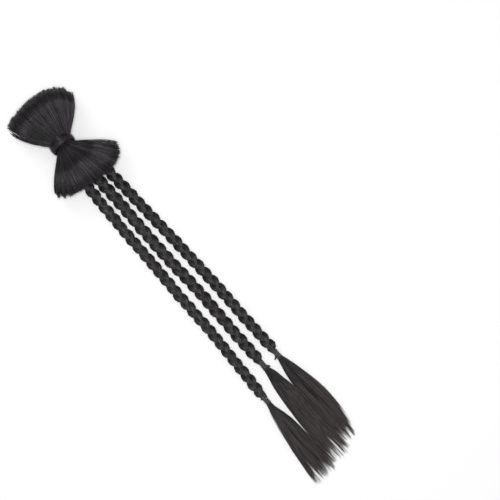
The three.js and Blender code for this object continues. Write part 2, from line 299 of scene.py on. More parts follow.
def comb_tree():
    """Combs hairs over a sheet: each one runs along the sheet at its own place across and its own depth."""
    tree = bpy.data.node_groups.new("comb_hair", "GeometryNodeTree")
    tree.interface.new_socket("Sheet", in_out="INPUT", socket_type="NodeSocketGeometry")
    for kind, defaults in (("NodeSocketInt", COMB_COUNTS), ("NodeSocketFloat", COMB_VALUES)):
        for name, value in defaults.items():
            tree.interface.new_socket(name, in_out="INPUT", socket_type=kind).default_value = value
    tree.interface.new_socket("Material", in_out="INPUT", socket_type="NodeSocketMaterial")
    tree.interface.new_socket("Hair", in_out="OUTPUT", socket_type="NodeSocketGeometry")
    given = tree.nodes.new("NodeGroupInput").outputs

    def calc(operation, a, b=0.0, c=0.0):
        return maths(tree, operation, a, b, c)

    def draw(which, number, low=0.0, high=1.0):
        """A random value for each hair or lock. Each draw adds a number of its own to the seed."""
        inputs = {2: low, 3: high, "ID": which, "Seed": calc("ADD", given["Seed"], float(number))}
        return put(tree, "FunctionNodeRandomValue", inputs, data_type="FLOAT").outputs[1]

    def layer(name, kind):
        return put(tree, "GeometryNodeInputNamedAttribute", {"Name": name}, data_type=kind).outputs[0]

    # One straight hair, copied as many times as there are hairs
    line = put(tree, "GeometryNodeCurvePrimitiveLine").outputs["Curve"]
    fine = put(tree, "GeometryNodeResampleCurve", {"Curve": line, "Count": given["Points"]}).outputs["Curve"]
    copies = {"Geometry": fine, "Amount": given["Hairs"]}
    many = put(tree, "GeometryNodeDuplicateElements", copies, domain="SPLINE").outputs["Geometry"]
    hair = put(tree, "GeometryNodeCurveOfPoint").outputs["Curve Index"]
    along = put(tree, "GeometryNodeSplineParameter").outputs["Factor"]

    # The place across: drawn for each hair, and gathered towards the middle of its lock on the way
    width = calc("SUBTRACT", given["Across To"], given["Across From"])
    root = calc("MULTIPLY_ADD", draw(hair, 1), width, given["Across From"])
    even = calc("MULTIPLY", root, given["Locks"])
    uneven = calc("MULTIPLY_ADD", calc("SINE", calc("MULTIPLY", even, LOCK_BEAT)), LOCK_UNEVENNESS, even)
    lock = calc("FLOOR", uneven)
    lock_middle = calc("DIVIDE", calc("ADD", lock, draw(lock, 2, *LOCK_MIDDLES)), given["Locks"])
    gathering = calc("MINIMUM", calc("MULTIPLY", along, GATHER_RATE), 1.0)
    pull = calc("MULTIPLY", gathering, given["Gather"])
    gathered = calc("MULTIPLY_ADD", calc("SUBTRACT", lock_middle, root), pull, root)
    drift = calc("MULTIPLY", draw(hair, 3, -1.0, 1.0), given["Wander"])
    drifted = calc("MULTIPLY_ADD", calc("MULTIPLY", along, along), drift, gathered)
    kept_in = {"Value": drifted, "Min": SHEET_EDGE, "Max": 1 - SHEET_EDGE}
    inside = put(tree, "ShaderNodeClamp", kept_in).outputs[0]

    # Hair that twists goes round and round instead, on a sheet that is closed into a tube
    turned = calc("FRACT", calc("MULTIPLY_ADD", along, given["Twist"], drifted))
    no_twist = {0: given["Twist"], 1: 0.0}
    is_twisted = put(tree, "FunctionNodeCompare", no_twist, operation="NOT_EQUAL").outputs[0]
    either = {0: is_twisted, 1: inside, 2: turned}
    across = put(tree, "GeometryNodeSwitch", either, input_type="FLOAT").outputs[0]

    # The stretch along: each lock and each hair ends a little short, and those at the first edge end sooner
    cut_lock = calc("MULTIPLY", draw(lock, 4), given["Ragged Lock"])
    cut_hair = calc("MULTIPLY", calc("POWER", draw(hair, 5), SHORT_HAIR_POWER), given["Ragged Hair"])
    from_centre = calc("MULTIPLY_ADD", root, 2.0, -1.0)
    near_edge = calc("POWER", calc("ABSOLUTE", from_centre), EDGE_POWER)
    towards_first = calc("MAXIMUM", calc("MULTIPLY", from_centre, -1.0), 0.0)
    near_first = calc("POWER", towards_first, EDGE_POWER)
    edge_share = calc("MULTIPLY", draw(lock, 11, *EDGE_LOCKS), given["Ragged Edge"])
    cut_edge = calc("MULTIPLY", near_first, edge_share)
    cut = calc("ADD", calc("ADD", cut_lock, cut_hair), cut_edge)
    end = calc("SUBTRACT", given["Ends At"], cut)
    place_along = calc("MULTIPLY_ADD", along, calc("SUBTRACT", end, SHEET_EDGE), SHEET_EDGE)
    comb = put(tree, "ShaderNodeCombineXYZ", {"X": across, "Y": place_along}).outputs[0]

    # The point on the sheet at that place, its normal, and the depth of hair there
    comb_map = layer("comb", "FLOAT_VECTOR")

    def sampled(field, kind):
        inputs = {"Mesh": given["Sheet"], "Value": field, 2: comb_map, "Sample UV": comb}
        return put(tree, "GeometryNodeSampleUVSurface", inputs, data_type=kind).outputs[0]

    point = sampled(put(tree, "GeometryNodeInputPosition").outputs[0], "FLOAT_VECTOR")
    normal = sampled(put(tree, "GeometryNodeInputNormal").outputs[0], "FLOAT_VECTOR")
    half = sampled(layer("half_depth", "FLOAT"), "FLOAT")

    # Hairs fill the depth, and the middle of a lock stands higher than its edges
    within = calc("MULTIPLY", draw(hair, 7, -1.0, 1.0), half)
    from_middle = calc("MULTIPLY_ADD", calc("FRACT", uneven), 2.0, -1.0)
    crown = calc("MULTIPLY_ADD", calc("MULTIPLY", from_middle, from_middle), -1.0, LOCK_CROWN)
    step = calc("MULTIPLY_ADD", draw(lock, 12, -1.0, 1.0), given["Unruly"], within)
    rise = calc("MULTIPLY_ADD", crown, given["Ridge"], step)
    raised = vectors(tree, "ADD", point, scaled(tree, normal, rise))

    # A little frizz, different on each hair, and never below the surface that the piece lies on
    own = scaled(tree, put(tree, "ShaderNodeCombineXYZ", {"X": hair}).outputs[0], FRIZZ_APART)
    spot = scaled(tree, point, calc("DIVIDE", 1.0, given["Frizz Size"]))
    waves = {"Vector": vectors(tree, "ADD", spot, own), "Scale": 1.0, "Detail": 1.0}
    noise = put(tree, "ShaderNodeTexNoise", waves).outputs["Color"]
    freed = calc("MINIMUM", calc("MULTIPLY", along, FRIZZ_RATE), 1.0)
    frizz = calc("MULTIPLY", freed, given["Frizz"])
    sway = scaled(tree, vectors(tree, "SUBTRACT", noise, (0.5, 0.5, 0.5)), frizz)
    loose = put(tree, "ShaderNodeSeparateXYZ", {0: vectors(tree, "ADD", raised, sway)}).outputs
    above = calc("MAXIMUM", loose["Z"], given["Thickness"])
    lying = put(tree, "ShaderNodeCombineXYZ", {"X": loose["X"], "Y": loose["Y"], "Z": above}).outputs[0]
    placed = put(tree, "GeometryNodeSetPosition", {"Geometry": many, "Position": lying}).outputs[0]

    # Each hair's tint, for the finish to read: its lock's, its own, the sheet's painted light and shade, fine
    # speckles, then paler towards its end as painted light, and darker near both edges and near its root as
    # painted shade
    lock_tint = calc("MULTIPLY", draw(lock, 8), LOCK_TINT)
    own_tint = calc("MULTIPLY_ADD", draw(hair, 9), HAIR_TINT, lock_tint)
    shaded = calc("ADD", own_tint, sampled(layer("shade", "FLOAT"), "FLOAT"))
    speckle_at = vectors(tree, "MULTIPLY", point, SPECKLES)
    speckles = {"Vector": speckle_at, "Scale": 1.0, "Detail": 1.0}
    speckle = put(tree, "ShaderNodeTexNoise", speckles).outputs["Fac"]
    mottled = calc("MULTIPLY_ADD", calc("SUBTRACT", speckle, 0.5), given["Mottle"], shaded)
    paler = calc("MULTIPLY_ADD", calc("SUBTRACT", along, PAINTED_LIGHT_FROM), given["Pale Ends"], mottled)
    edged = calc("SUBTRACT", paler, calc("MULTIPLY", near_edge, given["Dark Edges"]))
    near_root = calc("POWER", calc("SUBTRACT", 1.0, along), ROOT_POWER)
    tint = calc("SUBTRACT", edged, calc("MULTIPLY", near_root, given["Dark Roots"]))
    store = {"Geometry": placed, "Name": "tint", "Value": tint}
    tinted = put(tree, "GeometryNodeStoreNamedAttribute", store, data_type="FLOAT", domain="POINT").outputs[0]

    # A thin section swept along each hair, thinner at its tip
    towards_tip = calc("POWER", along, TIP_POWER)
    taper = calc("MULTIPLY_ADD", towards_tip, calc("SUBTRACT", given["Tip"], 1.0), 1.0)
    own_size = draw(hair, 10, *HAIR_SIZES)
    radius = calc("MULTIPLY", calc("MULTIPLY", taper, own_size), given["Thickness"])
    corners = {"Resolution": HAIR_CORNERS, "Radius": 1.0}
    ring = put(tree, "GeometryNodeCurvePrimitiveCircle", corners).outputs["Curve"]
    sweep = {"Curve": tinted, "Profile Curve": ring, "Scale": radius, "Fill Caps": True}
    swept = put(tree, "GeometryNodeCurveToMesh", sweep).outputs[0]
    smooth = put(tree, "GeometryNodeSetShadeSmooth", {0: swept}).outputs[0]
    whole = put(tree, "GeometryNodeRealizeInstances", {0: smooth}).outputs[0]
    finish = {"Geometry": whole, "Material": given["Material"]}
    dressed = put(tree, "GeometryNodeSetMaterial", finish).outputs[0]
    put(tree, "NodeGroupOutput", {"Hair": dressed})
    return tree


comb_hair = comb_tree()


def grown(name, base, tree, values):
    """What a tree makes of a base mesh, as a plain mesh object. Values go by the names of inputs."""
    piece = bpy.data.objects.new(name, base)
    bpy.context.scene.collection.objects.link(piece)
    grower = piece.modifiers.new("grow", "NODES")
    grower.node_group = tree
    sockets = {s.name: s.identifier for s in tree.interface.items_tree if s.in_out == "INPUT"}
    for key, value in values.items():
        grower[sockets[key]] = value
    evaluated = piece.evaluated_get(bpy.context.evaluated_depsgraph_get())
    mesh = bpy.data.meshes.new_from_object(evaluated)
    piece.modifiers.clear()
    piece.data = mesh
    bpy.data.meshes.remove(base)
    return piece


def combed(name, sheet, material, **settings):
    """Hair combed over one sheet."""
    values = {setting.replace("_", " ").title(): value for setting, value in settings.items()}
    return grown(name, sheet, comb_hair, {"Material": material, **values})


def joined(name, objects):
    """Several plain meshes as one piece, at the origin."""
    with bpy.context.temp_override(active_object=objects[0], selected_editable_objects=objects):
        bpy.ops.object.join()
    objects[0].name = name
    objects[0].data.name = name
    return objects[0]


# The finish of hair: its shine, and how far its roughness goes with the tint
HAIR_SHINE = 0.4
ROUGH_STEP = 0.06


def synthetic_hair(name, dark, light, rough):
    """Charcoal fibre: each hair has its own tint, and a paler one shines a little more."""
    material, tree, shader = new_finish(name)
    tint = put(tree, "ShaderNodeAttribute", attribute_name="tint").outputs["Fac"]
    fill(tree, shader, {
        "Specular IOR Level": HAIR_SHINE,
        "Base Color": two_tones(tree, tint, dark, light, dark_at=0.15, light_at=0.9),
        "Roughness": between(tree, tint, first=rough + ROUGH_STEP, last=rough - ROUGH_STEP),
    })
    return material


braid_hair = synthetic_hair(
    "braid_hair", dark=(0.0070, 0.0062, 0.0066), light=(0.0720, 0.0648, 0.0678), rough=0.50)

route_height = smooth_column(ROUTE, ROUTE_COLUMNS, "height")
route_size = smooth_column(ROUTE, ROUTE_COLUMNS, "size")
route_across = {name: smooth_column(ROUTE, ROUTE_COLUMNS, name) for name in BRAIDS}


def strand_line(name, strand, along):
    """The middle of one strand at places along its braid, its size there, and how it crosses the others.

    How it crosses sets the painted light and shade on its hair.
    """
    braid = BRAIDS[name]
    turn = 2 * np.pi * ((along - braid["lobe"]) / (braid["pitch"] * STRANDS) + strand / STRANDS) + np.pi / 2
    narrow = smooth_step(along, braid["band_from"] - NARROWING, braid["band_from"])
    size = braid["fullness"] * route_size(along) * (1 - narrow) + NARROW_SIZE * narrow
    plump = 1 + LOBE_PLUMP * (np.sin(turn) ** 2 - 0.5)
    across = route_across[name](along) + BRAID_SWAY * size * np.sin(turn)
    middle = route_height(along) * (1 - narrow) + BAND_HEIGHT * narrow
    height = middle - BRAID_RISE * size * np.sin(2 * turn)
    crossing = np.cos(2 * turn - CROSSING_PHASE)
    return np.stack([along, across, height], -1), size * plump, crossing


def strand_tube(name, strand, share):
    """Rings around one strand, at a share of its full section, with their seam below."""
    sides, steps = 12, 150
    along = np.linspace(0.0, BRAIDS[name]["band_from"] + BAND_OVERLAP, steps)
    middle, size, crossing = strand_line(name, strand, along)
    ahead = np.gradient(middle, axis=0)
    ahead /= np.linalg.norm(ahead, axis=1, keepdims=True)
    side = np.cross((0, 0, 1), ahead)
    side /= np.linalg.norm(side, axis=1, keepdims=True)
    top = np.cross(ahead, side)
    angle = np.linspace(-np.pi / 2, 1.5 * np.pi, sides + 1)[:, None, None]
    wide = share * STRAND_HALF_WIDTH * np.cos(angle) * side * size[:, None]
    high = share * STRAND_HALF_HEIGHT * np.sin(angle) * top * size[:, None]
    return middle + wide + high, size, crossing


def strand_core(name, rings, material):
    """The closed, packed middle of a strand, which hides what is behind the loose hairs on it."""
    sides, steps = rings.shape[0] - 1, rings.shape[1]
    corner = np.arange(sides * steps).reshape(sides, steps)
    beside = np.roll(corner, -1, axis=0)
    walls = np.stack([corner[:, :-1], beside[:, :-1], beside[:, 1:], corner[:, 1:]], -1).reshape(-1, 4)
    ends = [corner[::-1, 0].tolist(), corner[:, -1].tolist()]
    mesh = bpy.data.meshes.new(name)
    mesh.from_pydata(rings[:-1].reshape(-1, 3).tolist(), [], walls.tolist() + ends)
    tint = mesh.attributes.new("tint", "FLOAT", "POINT")
    tint.data.foreach_set("value", np.full(sides * steps, CORE_SHADE_TINT, np.float32))
    mesh.polygons.foreach_set("use_smooth", np.ones(len(mesh.polygons), bool))
    mesh.materials.append(material)
    core = bpy.data.objects.new(name, mesh)
    bpy.context.scene.collection.objects.link(core)
    return core


for number, name in enumerate(BRAIDS):
    strands = []
    for strand in range(STRANDS):
        rings, size, crossing = strand_tube(name, strand, 1.0)
        # Painted light and shade: paler along the braid's middle and where a strand passes over, darker at
        # its sides
        from_middle = np.abs(rings[..., 1] - route_across[name](rings[..., 0]))
        to_side = np.clip(from_middle / BRAID_SWAY, 0, 1)
        shade = PAINTED_CENTRE_LIGHT - PAINTED_SIDE_SHADE * to_side ** 2 + PAINTED_CROSSING_LIGHT * crossing
        shade *= 1 + PAINTED_ROOT_CONTRAST * smooth_step(rings[..., 0], ROOT_TO, ROOT_FROM)
        sheet = hair_sheet(f"{name}_strand_sheet", rings, LOOSE_DEPTH * size, shade)
        strands.append(combed(
            f"{name}_strand_{strand + 1}", sheet, braid_hair, hairs=46, points=112, thickness=0.00028,
            tip=0.8, locks=9.0, gather=0.15, ridge=0.0002, twist=0.4, frizz=0.0005, frizz_size=0.02,
            mottle=2.0, seed=100 * number + 20 * strand))
        packed = strand_tube(name, strand, CORE_SHARE)[0]
        strands.append(strand_core(f"{name}_core_{strand + 1}", packed, braid_hair))
    braid = joined(f"{name}_braid", strands)
    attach(braid, "root")
    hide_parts(*(f"{name}_braid_strand_{strand + 1}" for strand in range(STRANDS)))


# The loops of the bow
# Wide hanks of the same hair, folded over at their far ends and drawn together at the knot, so that each is
# an open fan with a round fold. The upper one lies back over the clip, the lower one over the braids' roots.

NECK_HALF_HEIGHT = 0.0032
NECK_ROUNDNESS = 0.8
LOOP_HALF_DEPTH = 0.0012

# The round fold at the far end: its length on a hank of usual length, how that varies across the fan, and the
# share of a hair's points that lie before it
FOLD_LENGTH = 0.0115
USUAL_LENGTH = 0.048
FOLD_UNEVENNESS = 0.16
FOLD_WAVES = 7
TAPER_SHARE = 0.34

# The frayed corner: how close its ends are, and the shares across where fraying starts and is full
FRAY_WAVES = 52
FRAY_STARTS = -0.55
FRAY_FULL = -0.85

# The lock at the -Y side that has sunk, and the part of its way that has. The gap beside it: where it opens
# and closes on the way out, how firmly it closes, how far it pushes hair aside, and how far that reaches
LOCK_SHARE = -0.935
LOCK_EDGE = 0.01
SUNK_WAY = (0.6, 0.35)
GAP_OPENS = (0.5, 0.8)
GAP_CLOSES = (0.88, 1.0)
GAP_CLOSING = 1.6
GAP_INWARD = 0.22
GAP_OUTWARD = -0.05
GAP_REACH = 0.12

# Parts of the way that take painted shade where hair turns over and painted light where it comes round the
# rim, and how far the painted shade of a hollow reaches
TURN_WAY = (0.324, 0.362, 0.375, 0.425)
RIM_WAY = (0.375, 0.42, 0.52, 0.60)
HOLLOW_REACH = 0.22

# Share across, then where the fold ends along and across, the fold's middle height and its thickness
FAN_COLUMNS = ("share", "along", "across", "height", "thick")
UPPER_FAN = [
    (-1.00, -0.0365, -0.0308, 0.0122, 0.0130),
    (-0.90, -0.0415, -0.0296, 0.0132, 0.0152),
    (-0.75, -0.0444, -0.0260, 0.0138, 0.0172),
    (-0.40, -0.0474, -0.0155, 0.0142, 0.0190),
    (0.00, -0.0491, -0.0010, 0.0145, 0.0198),
    (0.40, -0.0480, 0.0145, 0.0142, 0.0190),
    (0.75, -0.0432, 0.0269, 0.0138, 0.0172),
    (0.90, -0.0368, 0.0335, 0.0132, 0.0152),
    (1.00, -0.0283, 0.0378, 0.0122, 0.0130),
]
LOWER_FAN = [
    (-1.00, 0.0355, -0.0366, 0.0150, 0.0130),
    (-0.90, 0.0410, -0.0336, 0.0163, 0.0150),
    (-0.75, 0.0450, -0.0283, 0.0174, 0.0168),
    (-0.40, 0.0494, -0.0150, 0.0184, 0.0186),
    (0.00, 0.0512, 0.0030, 0.0188, 0.0192),
    (0.40, 0.0524, 0.0180, 0.0184, 0.0186),
    (0.75, 0.0487, 0.0308, 0.0174, 0.0168),
    (0.90, 0.0434, 0.0367, 0.0163, 0.0150),
    (1.00, 0.0352, 0.0405, 0.0150, 0.0130),
]

# neck_along, neck_height, neck_half, neck_shift: where the fan is tied, half its width there, and its shift.
# flare: how early it opens. rise: the share of the way out on which it swells, and how fast at first.
# fray: how unevenly its -Y corner ends. gape: how far the lock at its -Y side has sunk and stands off.
# filled: the share across that the main hank fills. lock_from, lock_hairs, lock_ends: where the loose lock
# beside it starts across, its hairs, and where they end along. wisps: single hairs at that edge.
# tone: how pale the hair is all over. painted_inner_shade, painted_hollow_shade: how much painted shade on
# inner_way, all across and around hollow_share. painted_crest_highlight: how much painted highlight on
# crest_way. painted_turn_shade, painted_rim_light: painted shade where hair turns over the fold and painted
# light round its rim.
LOOPS = [
    {
        "name": "upper_loop", "fan": UPPER_FAN,
        "neck_along": -0.0005, "neck_height": 0.0146, "neck_half": 0.0106, "neck_shift": 0.0013,
        "flare": 0.80, "rise": (0.72, 2.2), "fray": 0.012, "gape": 0.0060,
        "filled": 0.952, "lock_from": 0.978, "lock_hairs": 26, "lock_ends": 0.38, "wisps": 16,
        "tone": -0.05, "inner_way": (0.07, 0.13, 0.23, 0.29), "painted_inner_shade": 0.07,
        "hollow_share": -0.65, "painted_hollow_shade": 0.55,
        "crest_way": (0.265, 0.29, 0.30, 0.36), "painted_crest_highlight": 0.26, "painted_turn_shade": 0.6, "painted_rim_light": 0.3,
    },
    {
        "name": "lower_loop", "fan": LOWER_FAN,
        "neck_along": 0.0040, "neck_height": 0.0112, "neck_half": 0.0038, "neck_shift": -0.0003,
        "flare": 0.30, "rise": (0.90, 1.6), "fray": 0.035, "gape": 0.0,
        "filled": 0.955, "lock_from": 0.925, "lock_hairs": 50, "lock_ends": 0.9995, "wisps": 16,
        "tone": -0.13, "inner_way": (0.16, 0.205, 0.225, 0.275), "painted_inner_shade": 0.18,
        "hollow_share": 0.0, "painted_hollow_shade": 0.20,
        "crest_way": (0.245, 0.285, 0.30, 0.36), "painted_crest_highlight": 0.42, "painted_turn_shade": 0.0, "painted_rim_light": 0.05,
    },
]


def fold_line(length, neck_half, fold_half, neck_height, fold_height, fold_length, rise, steps):
    """Goes out over the top of a loop, round its fold and back below: distances out and heights."""
    taper = int(steps * TAPER_SHARE)
    share = np.linspace(0, 1, taper, endpoint=False)
    rise_share, rise_power = rise
    eased = 1 - (1 - np.clip(share / rise_share, 0, 1)) ** rise_power
    out = (length - fold_length) * share
    half = neck_half + (fold_half - neck_half) * eased
    height = neck_height + (fold_height - neck_height) * eased
    angle = np.linspace(np.pi / 2, -np.pi / 2, steps - 2 * taper)
    distance = np.concatenate([out, length - fold_length + fold_length * np.cos(angle), out[::-1]])
    level = np.concatenate([height + half, fold_height + fold_half * np.sin(angle), (height - half)[::-1]])
    return distance, level


def along_part(way, starts, full_from, full_to, ends):
    """One on the part of the way from full_from to full_to, and fading to nothing before and after it."""
    return smooth_step(way, starts, full_from) * smooth_step(way, ends, full_to)


def loop_sheet(name, loop):
    columns, steps = 121, 61
    value = {key: smooth_column(loop["fan"], FAN_COLUMNS, key) for key in FAN_COLUMNS[1:]}
    neck_along = loop["neck_along"]
    shares = np.linspace(-1, 1, columns)
    way = np.linspace(0, 1, steps)
    points = np.empty((columns, steps, 3))
    for i, share in enumerate(shares):
        neck_across = loop["neck_shift"] + loop["neck_half"] * share
        neck_half = NECK_HALF_HEIGHT * math.sqrt(1 - (NECK_ROUNDNESS * share) ** 2)
        run = np.array([value["along"](share) - neck_along, value["across"](share) - neck_across])
        run *= 1 + loop["fray"] * math.sin(FRAY_WAVES * share) * smooth_step(share, FRAY_STARTS, FRAY_FULL)
        length = np.linalg.norm(run) - LOOP_HALF_DEPTH
        fold_half = value["thick"](share) / 2 - LOOP_HALF_DEPTH
        fold_change = 1 + FOLD_UNEVENNESS * math.sin(FOLD_WAVES * share + 1)
        fold_length = FOLD_LENGTH * length / USUAL_LENGTH * fold_change
        distance, level = fold_line(
            length, neck_half, fold_half, loop["neck_height"], value["height"](share), fold_length,
            loop["rise"], steps)
        out = distance / np.linalg.norm(run)
        spread = out + (np.sin(np.pi / 2 * out) - out) * loop["flare"]
        sunk = loop["gape"] * out * smooth_step(way, *SUNK_WAY)
        gap = loop["gape"] * (smooth_step(out, *GAP_OPENS) - GAP_CLOSING * smooth_step(out, *GAP_CLOSES))
        push = GAP_INWARD if share > LOCK_SHARE else GAP_OUTWARD
        aside = math.exp(-abs(share - LOCK_SHARE) / GAP_REACH) * push
        points[i, :, 0] = neck_along + run[0] * out
        points[i, :, 1] = neck_across + run[1] * spread + gap * aside
        points[i, :, 2] = level - sunk * smooth_step(share, LOCK_SHARE + LOCK_EDGE, LOCK_SHARE - LOCK_EDGE)
    # The hair's painted light and shade, on top of the loop's tone: painted shade inside the fan and its
    # hollow, a painted highlight on the crest, painted shade where hair turns over the fold and painted light
    # at the rim
    hollow = loop["painted_hollow_shade"] * np.exp(-((shares[:, None] - loop["hollow_share"]) / HOLLOW_REACH) ** 2)
    inner_shade = -(loop["painted_inner_shade"] + hollow) * along_part(way, *loop["inner_way"])
    crest_highlight = loop["painted_crest_highlight"] * along_part(way, *loop["crest_way"])
    turn_shade = -loop["painted_turn_shade"] * along_part(way, *TURN_WAY)
    rim_light = loop["painted_rim_light"] * along_part(way, *RIM_WAY)
    shade = loop["tone"] + inner_shade + crest_highlight + turn_shade + rim_light

    # A fan that lies back towards -X is taken the other way across, so that its faces still point outwards
    if value["along"](0.0) < neck_along:
        points, shade = points[::-1], shade[::-1]
    return hair_sheet(name, points, LOOP_HALF_DEPTH, shade)


bow_hair = synthetic_hair(
    "bow_hair", dark=(0.0070, 0.0060, 0.0072), light=(0.0575, 0.0496, 0.0573), rough=0.45)


def loop_hank(loop, part, **settings):
    """Some of a loop's hair."""
    name = f"{loop['name']}_{part}"
    return combed(name, loop_sheet(f"{name}_sheet", loop), bow_hair, points=25, **settings)


for number, loop in enumerate(LOOPS):
    loop_seed = 300 + 40 * number
    main = loop_hank(
        loop, "main", hairs=980, thickness=0.00022, tip=1.0, locks=80.0, gather=0.25, ridge=0.0004,
        unruly=0.0006, wander=0.012, frizz=0.0013, frizz_size=0.02, across_to=loop["filled"], seed=loop_seed)
    strays = loop_hank(
        loop, "strays", hairs=50, thickness=0.00013, tip=1.0, locks=40.0, unruly=0.0004, wander=0.06,
        frizz=0.0042, frizz_size=0.03, seed=loop_seed + 20)
    lock = loop_hank(
        loop, "lock", hairs=loop["lock_hairs"], thickness=0.00018, tip=0.3, locks=110.0, gather=0.7,
        unruly=0.0007, frizz=0.0030, frizz_size=0.025, ends_at=loop["lock_ends"],
        ragged_hair=0.4 * loop["lock_ends"], across_from=loop["lock_from"], seed=loop_seed + 30)
    wisps = loop_hank(
        loop, "wisps", hairs=loop["wisps"], thickness=0.00013, tip=1.0, locks=110.0, gather=0.5, frizz=0.0050,
        frizz_size=0.025, across_from=loop["lock_from"], seed=loop_seed + 36)
    piece = joined(f"{loop['name']}_hair", [main, strays, lock, wisps])
    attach(piece, "root")
    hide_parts(loop["name"])


# The wrap
# A smooth lock of the same hair, wound once around the waist of the bow with a slight lean and tucked in
# below. It hides the thread that ties the bow.

WRAP_ALONG = 0.003
WRAP_ACROSS = -0.0006
WRAP_HEIGHT = 0.0133
WRAP_HALF_WIDTH = 0.0116
WRAP_HALF_HEIGHT = 0.0084
WRAP_LOCK = 0.0082
WRAP_LEAN = 0.0033
WRAP_BULGE = 0.0009
WRAP_HALF_DEPTH = 0.0008


def wrap_sheet():
    columns, steps = 15, 73
    turn = np.linspace(-np.pi / 2, 1.5 * np.pi, steps)
    side = np.cos(turn)
    up = np.sin(turn)
    points = np.empty((columns, steps, 3))
    for i, share in enumerate(np.linspace(-1, 1, columns)):
        bulge = WRAP_BULGE * (1 - share * share)
        points[i, :, 0] = WRAP_ALONG - WRAP_LEAN * up + WRAP_LOCK / 2 * share
        points[i, :, 1] = WRAP_ACROSS + side * (WRAP_HALF_WIDTH + bulge - WRAP_HALF_DEPTH)
        points[i, :, 2] = WRAP_HEIGHT + up * (WRAP_HALF_HEIGHT + bulge - WRAP_HALF_DEPTH)
    return hair_sheet("wrap_sheet", points, WRAP_HALF_DEPTH)


# The same hair as the bow's, drawn darker: painted shade on the wrap's sloping sides beside its glint
wrap_hair = synthetic_hair(
    "wrap_hair", dark=(0.0070, 0.0061, 0.0073), light=(0.038, 0.0335, 0.0385), rough=0.28)
wrap = combed(
    "knot_wrap_hair", wrap_sheet(), wrap_hair, hairs=220, points=41, thickness=0.00028, tip=1.0, locks=6.0,
    gather=0.0, ridge=0.0003, wander=0.05, frizz=0.0006, frizz_size=0.02, seed=380)
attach(wrap, "root")
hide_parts("knot_wrap")


# The bands
# Small elastics of grey rubber, each wound several times around the end of a braid to tie it off. The cut end
# of the rubber is left standing out, and is drawn much darker.

BAND_LENGTH = 0.009
BAND_RADIUS = 0.0022
BAND_TURNS = 5.5
TURN_POINTS = 18
ELASTIC_RADIUS = 0.0007
ELASTIC_CORNERS = 8
ELASTIC_FUZZ = 1500.0
ELASTIC_FUZZ_DEPTH = 0.0001

# How unevenly the turns lie: how fine the waves are, the value that they centre on, and how far they go
SLACK_WAVES = 260.0
SLACK_CENTRE = (0.5, 0.5, 0.4)
BAND_SLACK = 0.0012

# The cut end: its points along, how late it rounds off, what is left at its tip, and its size in elastics
STUB_POINTS = 9
STUB_POWER = 6.0
STUB_TIP = 0.02
STUB_SIZE = 1.3

# Each band's cut end, from and to, measured from the start of the band on the braid's middle line
STUBS = {
    "upper": ((0.0050, -0.0012, 0.0010), (0.0077, -0.0053, 0.0012)),
    "middle": ((0.0066, 0.0018, 0.0012), (0.0100, 0.0047, 0.0012)),
    "lower": ((0.0010, -0.0018, 0.0010), (0.0018, -0.0038, 0.0006)),
}

BAND_INPUTS = {
    "NodeSocketFloat": ("Turns", "Length", "Radius", "Elastic", "Slack"),
    "NodeSocketVector": ("Place", "Stub From", "Stub To"),
    "NodeSocketMaterial": ("Material", "Stub Material"),
}


def elastic_rubber(name, dark, light):
    """Dull rubber with a fine, fuzzy surface."""
    material, tree, shader = new_finish(name)
    place = put(tree, "ShaderNodeTexCoord").outputs["Object"]
    fuzz = put(tree, "ShaderNodeTexNoise", {"Vector": place, "Scale": ELASTIC_FUZZ}).outputs["Fac"]
    bump = put(tree, "ShaderNodeBump", {"Height": fuzz, "Strength": 0.3, "Distance": ELASTIC_FUZZ_DEPTH})
    fill(tree, shader, {
        "Base Color": two_tones(tree, fuzz, dark, light, dark_at=0.3, light_at=0.7),
        "Roughness": between(tree, fuzz, first=0.65, last=0.45),
        "Normal": bump.outputs["Normal"],
    })
    return material


